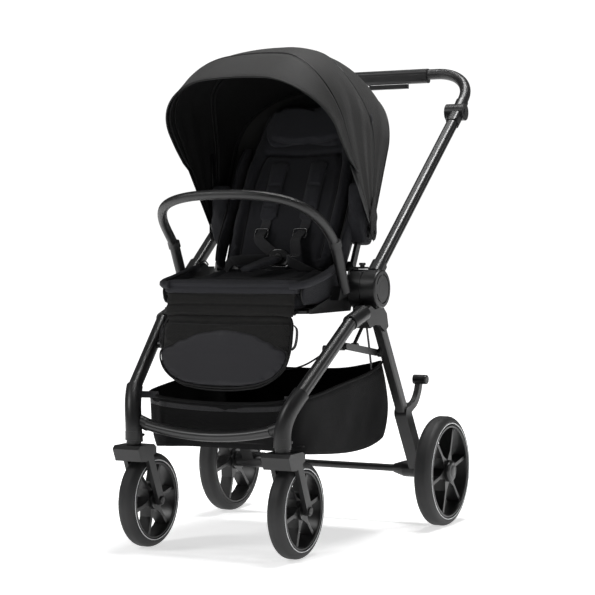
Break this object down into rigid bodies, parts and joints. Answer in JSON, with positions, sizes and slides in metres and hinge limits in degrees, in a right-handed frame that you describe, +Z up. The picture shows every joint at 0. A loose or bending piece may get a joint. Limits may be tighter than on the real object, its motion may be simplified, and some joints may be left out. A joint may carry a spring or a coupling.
{
  "type": "baby stroller",
  "caption": "Folding baby stroller: reclining padded seat with a sliding canopy, bumper bar, leg rest, basket, swivelling front wheels, foot brake and height-adjustable push handle.",
  "frame": {"origin": "on the floor, under the middle of the object's bounding box, in the plane of symmetry", "axes": "+Z up, front of the stroller towards -Y, +X towards the seated child's left"},
  "size_m": [0.576, 0.932, 1.0438],
  "materials": {
    "tube": "satin black coated aluminium",
    "moulding": "satin black moulded plastic",
    "rim": "satin black moulded plastic",
    "tyre": "matte foamed rubber",
    "canopy_cloth": "dark grey-black coated woven cloth",
    "seat_cloth": "cool black woven cloth, padded",
    "basket_cloth": "black woven cloth",
    "grip": "black stitched imitation leather",
    "webbing": "black webbing",
    "cap": "grey moulded plastic",
    "cable": "black cable jacket",
    "pin_steel": "plain"
  },
  "bodies": {
    "front_frame": {"front_leg_left": "tube", "front_leg_right": "tube", "frame_node_left": "moulding", "frame_node_right": "moulding", "knuckle_left": "moulding", "knuckle_right": "moulding", "crossbar": "tube", "basket": "basket_cloth"},
    "rear_frame": {"rear_leg_left": "tube", "rear_leg_right": "tube", "rear_foot_left": "moulding", "rear_foot_right": "moulding", "rear_axle": "tube"},
    "brace_front": {"brace_front_links": "tube", "release_cable": "cable", "cable_sleeve": "moulding"},
    "brace_rear": {"brace_rear_links": "tube"},
    "handle": {"handle_tube_left": "tube", "handle_tube_right": "tube", "hub_cap_left": "moulding", "hub_cap_right": "moulding", "tilt_base_left": "moulding", "tilt_base_right": "moulding"},
    "handle_bar": {"handle_bar": "grip", "trigger_housing": "moulding", "tilt_hub_left": "moulding", "tilt_hub_right": "moulding"},
    "fold_trigger": {"fold_trigger": "moulding"},
    "tilt_button_left": {"tilt_button_left": "cap"},
    "front_fork_left": {"front_fork_left": "moulding"},
    "front_wheel_left": {"front_wheel_left": "rim", "front_tyre_left": "tyre"},
    "swivel_lock_left": {"swivel_lock_left": "moulding"},
    "rear_wheel_left": {"rear_wheel_left": "rim", "rear_tyre_left": "tyre"},
    "brake_pin_left": {"brake_pin_left": "pin_steel"},
    "adapter_button_left": {"adapter_button_left": "cap"},
    "tilt_button_right": {"tilt_button_right": "cap"},
    "front_fork_right": {"front_fork_right": "moulding"},
    "front_wheel_right": {"front_wheel_right": "rim", "front_tyre_right": "tyre"},
    "swivel_lock_right": {"swivel_lock_right": "moulding"},
    "rear_wheel_right": {"rear_wheel_right": "rim", "rear_tyre_right": "tyre"},
    "brake_pin_right": {"brake_pin_right": "pin_steel"},
    "adapter_button_right": {"adapter_button_right": "cap"},
    "brake_pedal": {"brake_pedal": "moulding"},
    "seat": {"seat_base": "moulding", "seat_adapter_left": "moulding", "seat_adapter_right": "moulding", "seat_cushion": "seat_cloth", "buckle_and_crotch_pad": "moulding"},
    "back_rest": {"back_shell": "moulding", "back_cushion": "seat_cloth", "shoulder_straps": "webbing", "canopy_rear": "canopy_cloth"},
    "leg_rest": {"leg_rest": "seat_cloth"},
    "bumper": {"bumper_bar": "grip"},
    "canopy_mid": {"canopy_mid": "canopy_cloth"},
    "canopy_front": {"canopy_front": "canopy_cloth"}
  },
  "joints": [
    {"name": "fold", "type": "hinge", "parent": "front_frame", "child": "handle", "pos_m": [0, -0.11, 0.527], "axis": [1, 0, 0], "range_deg": [0, 135]},
    {"name": "rear_leg_fold", "type": "hinge", "parent": "front_frame", "child": "rear_frame", "pos_m": [0, -0.07745, 0.47423], "axis": [1, 0, 0], "range_deg": [-35, 0]},
    {"name": "brace_front_fold", "type": "hinge", "parent": "front_frame", "child": "brace_front", "pos_m": [0, -0.261, 0.409], "axis": [1, 0, 0], "range_deg": [0, 52]},
    {"name": "brace_rear_fold", "type": "hinge", "parent": "rear_frame", "child": "brace_rear", "pos_m": [0, -0.04, 0.389], "axis": [1, 0, 0], "range_deg": [0, 8.3]},
    {"name": "handle_tilt", "type": "hinge", "parent": "handle", "child": "handle_bar", "pos_m": [0, 0.349, 0.92], "axis": [1, 0, 0], "range_deg": [-45, 45]},
    {"name": "trigger_pull", "type": "slide", "parent": "handle_bar", "child": "fold_trigger", "axis": [0, 0, 1], "range_m": [0, 0.006], "stiffness_N_per_m": 500},
    {"name": "tilt_button_left_press", "type": "slide", "parent": "handle_bar", "child": "tilt_button_left", "axis": [-1, 0, 0], "range_m": [0, 0.003], "stiffness_N_per_m": 500},
    {"name": "front_swivel_left", "type": "hinge", "parent": "front_frame", "child": "front_fork_left", "pos_m": [0.171, -0.425, 0.226], "axis": [0, 0, 1], "continuous": true},
    {"name": "front_wheel_left_roll", "type": "hinge", "parent": "front_fork_left", "child": "front_wheel_left", "pos_m": [0.171, -0.369, 0.097], "axis": [1, 0, 0], "continuous": true},
    {"name": "swivel_lock_left_slide", "type": "slide", "parent": "front_fork_left", "child": "swivel_lock_left", "axis": [0, 0, 1], "range_m": [0, 0.005]},
    {"name": "rear_wheel_left_roll", "type": "hinge", "parent": "rear_frame", "child": "rear_wheel_left", "pos_m": [0.268, 0.141, 0.12], "axis": [1, 0, 0], "continuous": true},
    {"name": "brake_pin_left_slide", "type": "slide", "parent": "rear_frame", "child": "brake_pin_left", "axis": [1, 0, 0], "range_m": [0, 0.01]},
    {"name": "adapter_button_left_press", "type": "slide", "parent": "seat", "child": "adapter_button_left", "axis": [0, 0, -1], "range_m": [0, 0.0035], "stiffness_N_per_m": 500},
    {"name": "tilt_button_right_press", "type": "slide", "parent": "handle_bar", "child": "tilt_button_right", "axis": [1, 0, 0], "range_m": [0, 0.003], "stiffness_N_per_m": 500},
    {"name": "front_swivel_right", "type": "hinge", "parent": "front_frame", "child": "front_fork_right", "pos_m": [-0.171, -0.425, 0.226], "axis": [0, 0, 1], "continuous": true},
    {"name": "front_wheel_right_roll", "type": "hinge", "parent": "front_fork_right", "child": "front_wheel_right", "pos_m": [-0.171, -0.369, 0.097], "axis": [1, 0, 0], "continuous": true},
    {"name": "swivel_lock_right_slide", "type": "slide", "parent": "front_fork_right", "child": "swivel_lock_right", "axis": [0, 0, 1], "range_m": [0, 0.005]},
    {"name": "rear_wheel_right_roll", "type": "hinge", "parent": "rear_frame", "child": "rear_wheel_right", "pos_m": [-0.268, 0.141, 0.12], "axis": [1, 0, 0], "continuous": true},
    {"name": "brake_pin_right_slide", "type": "slide", "parent": "rear_frame", "child": "brake_pin_right", "axis": [-1, 0, 0], "range_m": [0, 0.01]},
    {"name": "adapter_button_right_press", "type": "slide", "parent": "seat", "child": "adapter_button_right", "axis": [0, 0, -1], "range_m": [0, 0.0035], "stiffness_N_per_m": 500},
    {"name": "brake_press", "type": "hinge", "parent": "rear_frame", "child": "brake_pedal", "pos_m": [0.213, 0.084, 0.264], "axis": [1, 0, 0], "range_deg": [-25, 0]},
    {"name": "seat_lift", "type": "slide", "parent": "front_frame", "child": "seat", "axis": [0, 0, 1], "range_m": [0, 0.15]},
    {"name": "recline", "type": "hinge", "parent": "seat", "child": "back_rest", "pos_m": [0, -0.109, 0.54], "axis": [1, 0, 0], "range_deg": [-45, 0]},
    {"name": "leg_rest_raise", "type": "hinge", "parent": "seat", "child": "leg_rest", "pos_m": [0, -0.318, 0.487], "axis": [1, 0, 0], "range_deg": [-75, 0]},
    {"name": "bumper_release", "type": "slide", "parent": "seat", "child": "bumper", "axis": [0, -0.4153, 0.9097], "range_m": [0, 0.12]},
    {"name": "canopy_slide", "type": "hinge", "parent": "back_rest", "child": "canopy_mid", "pos_m": [0, -0.053, 0.645], "axis": [1, 0, 0], "range_deg": [-24, 0]},
    {"name": "visor_slide", "type": "hinge", "parent": "canopy_mid", "child": "canopy_front", "pos_m": [0, -0.053, 0.645], "axis": [1, 0, 0], "range_deg": [-24, 0]}
  ],
  "couplings": [
    {"joint": "rear_leg_fold", "follows": "fold", "ratio": -0.25926},
    {"joint": "brace_front_fold", "follows": "fold", "ratio": 0.38519},
    {"joint": "brace_rear_fold", "follows": "fold", "ratio": 0.061481},
    {"joint": "brake_pin_left_slide", "follows": "brake_press", "m_per_rad": -0.022918},
    {"joint": "brake_pin_right_slide", "follows": "brake_press", "m_per_rad": -0.022918},
    {"joint": "visor_slide", "follows": "canopy_slide", "ratio": 1}
  ]
}
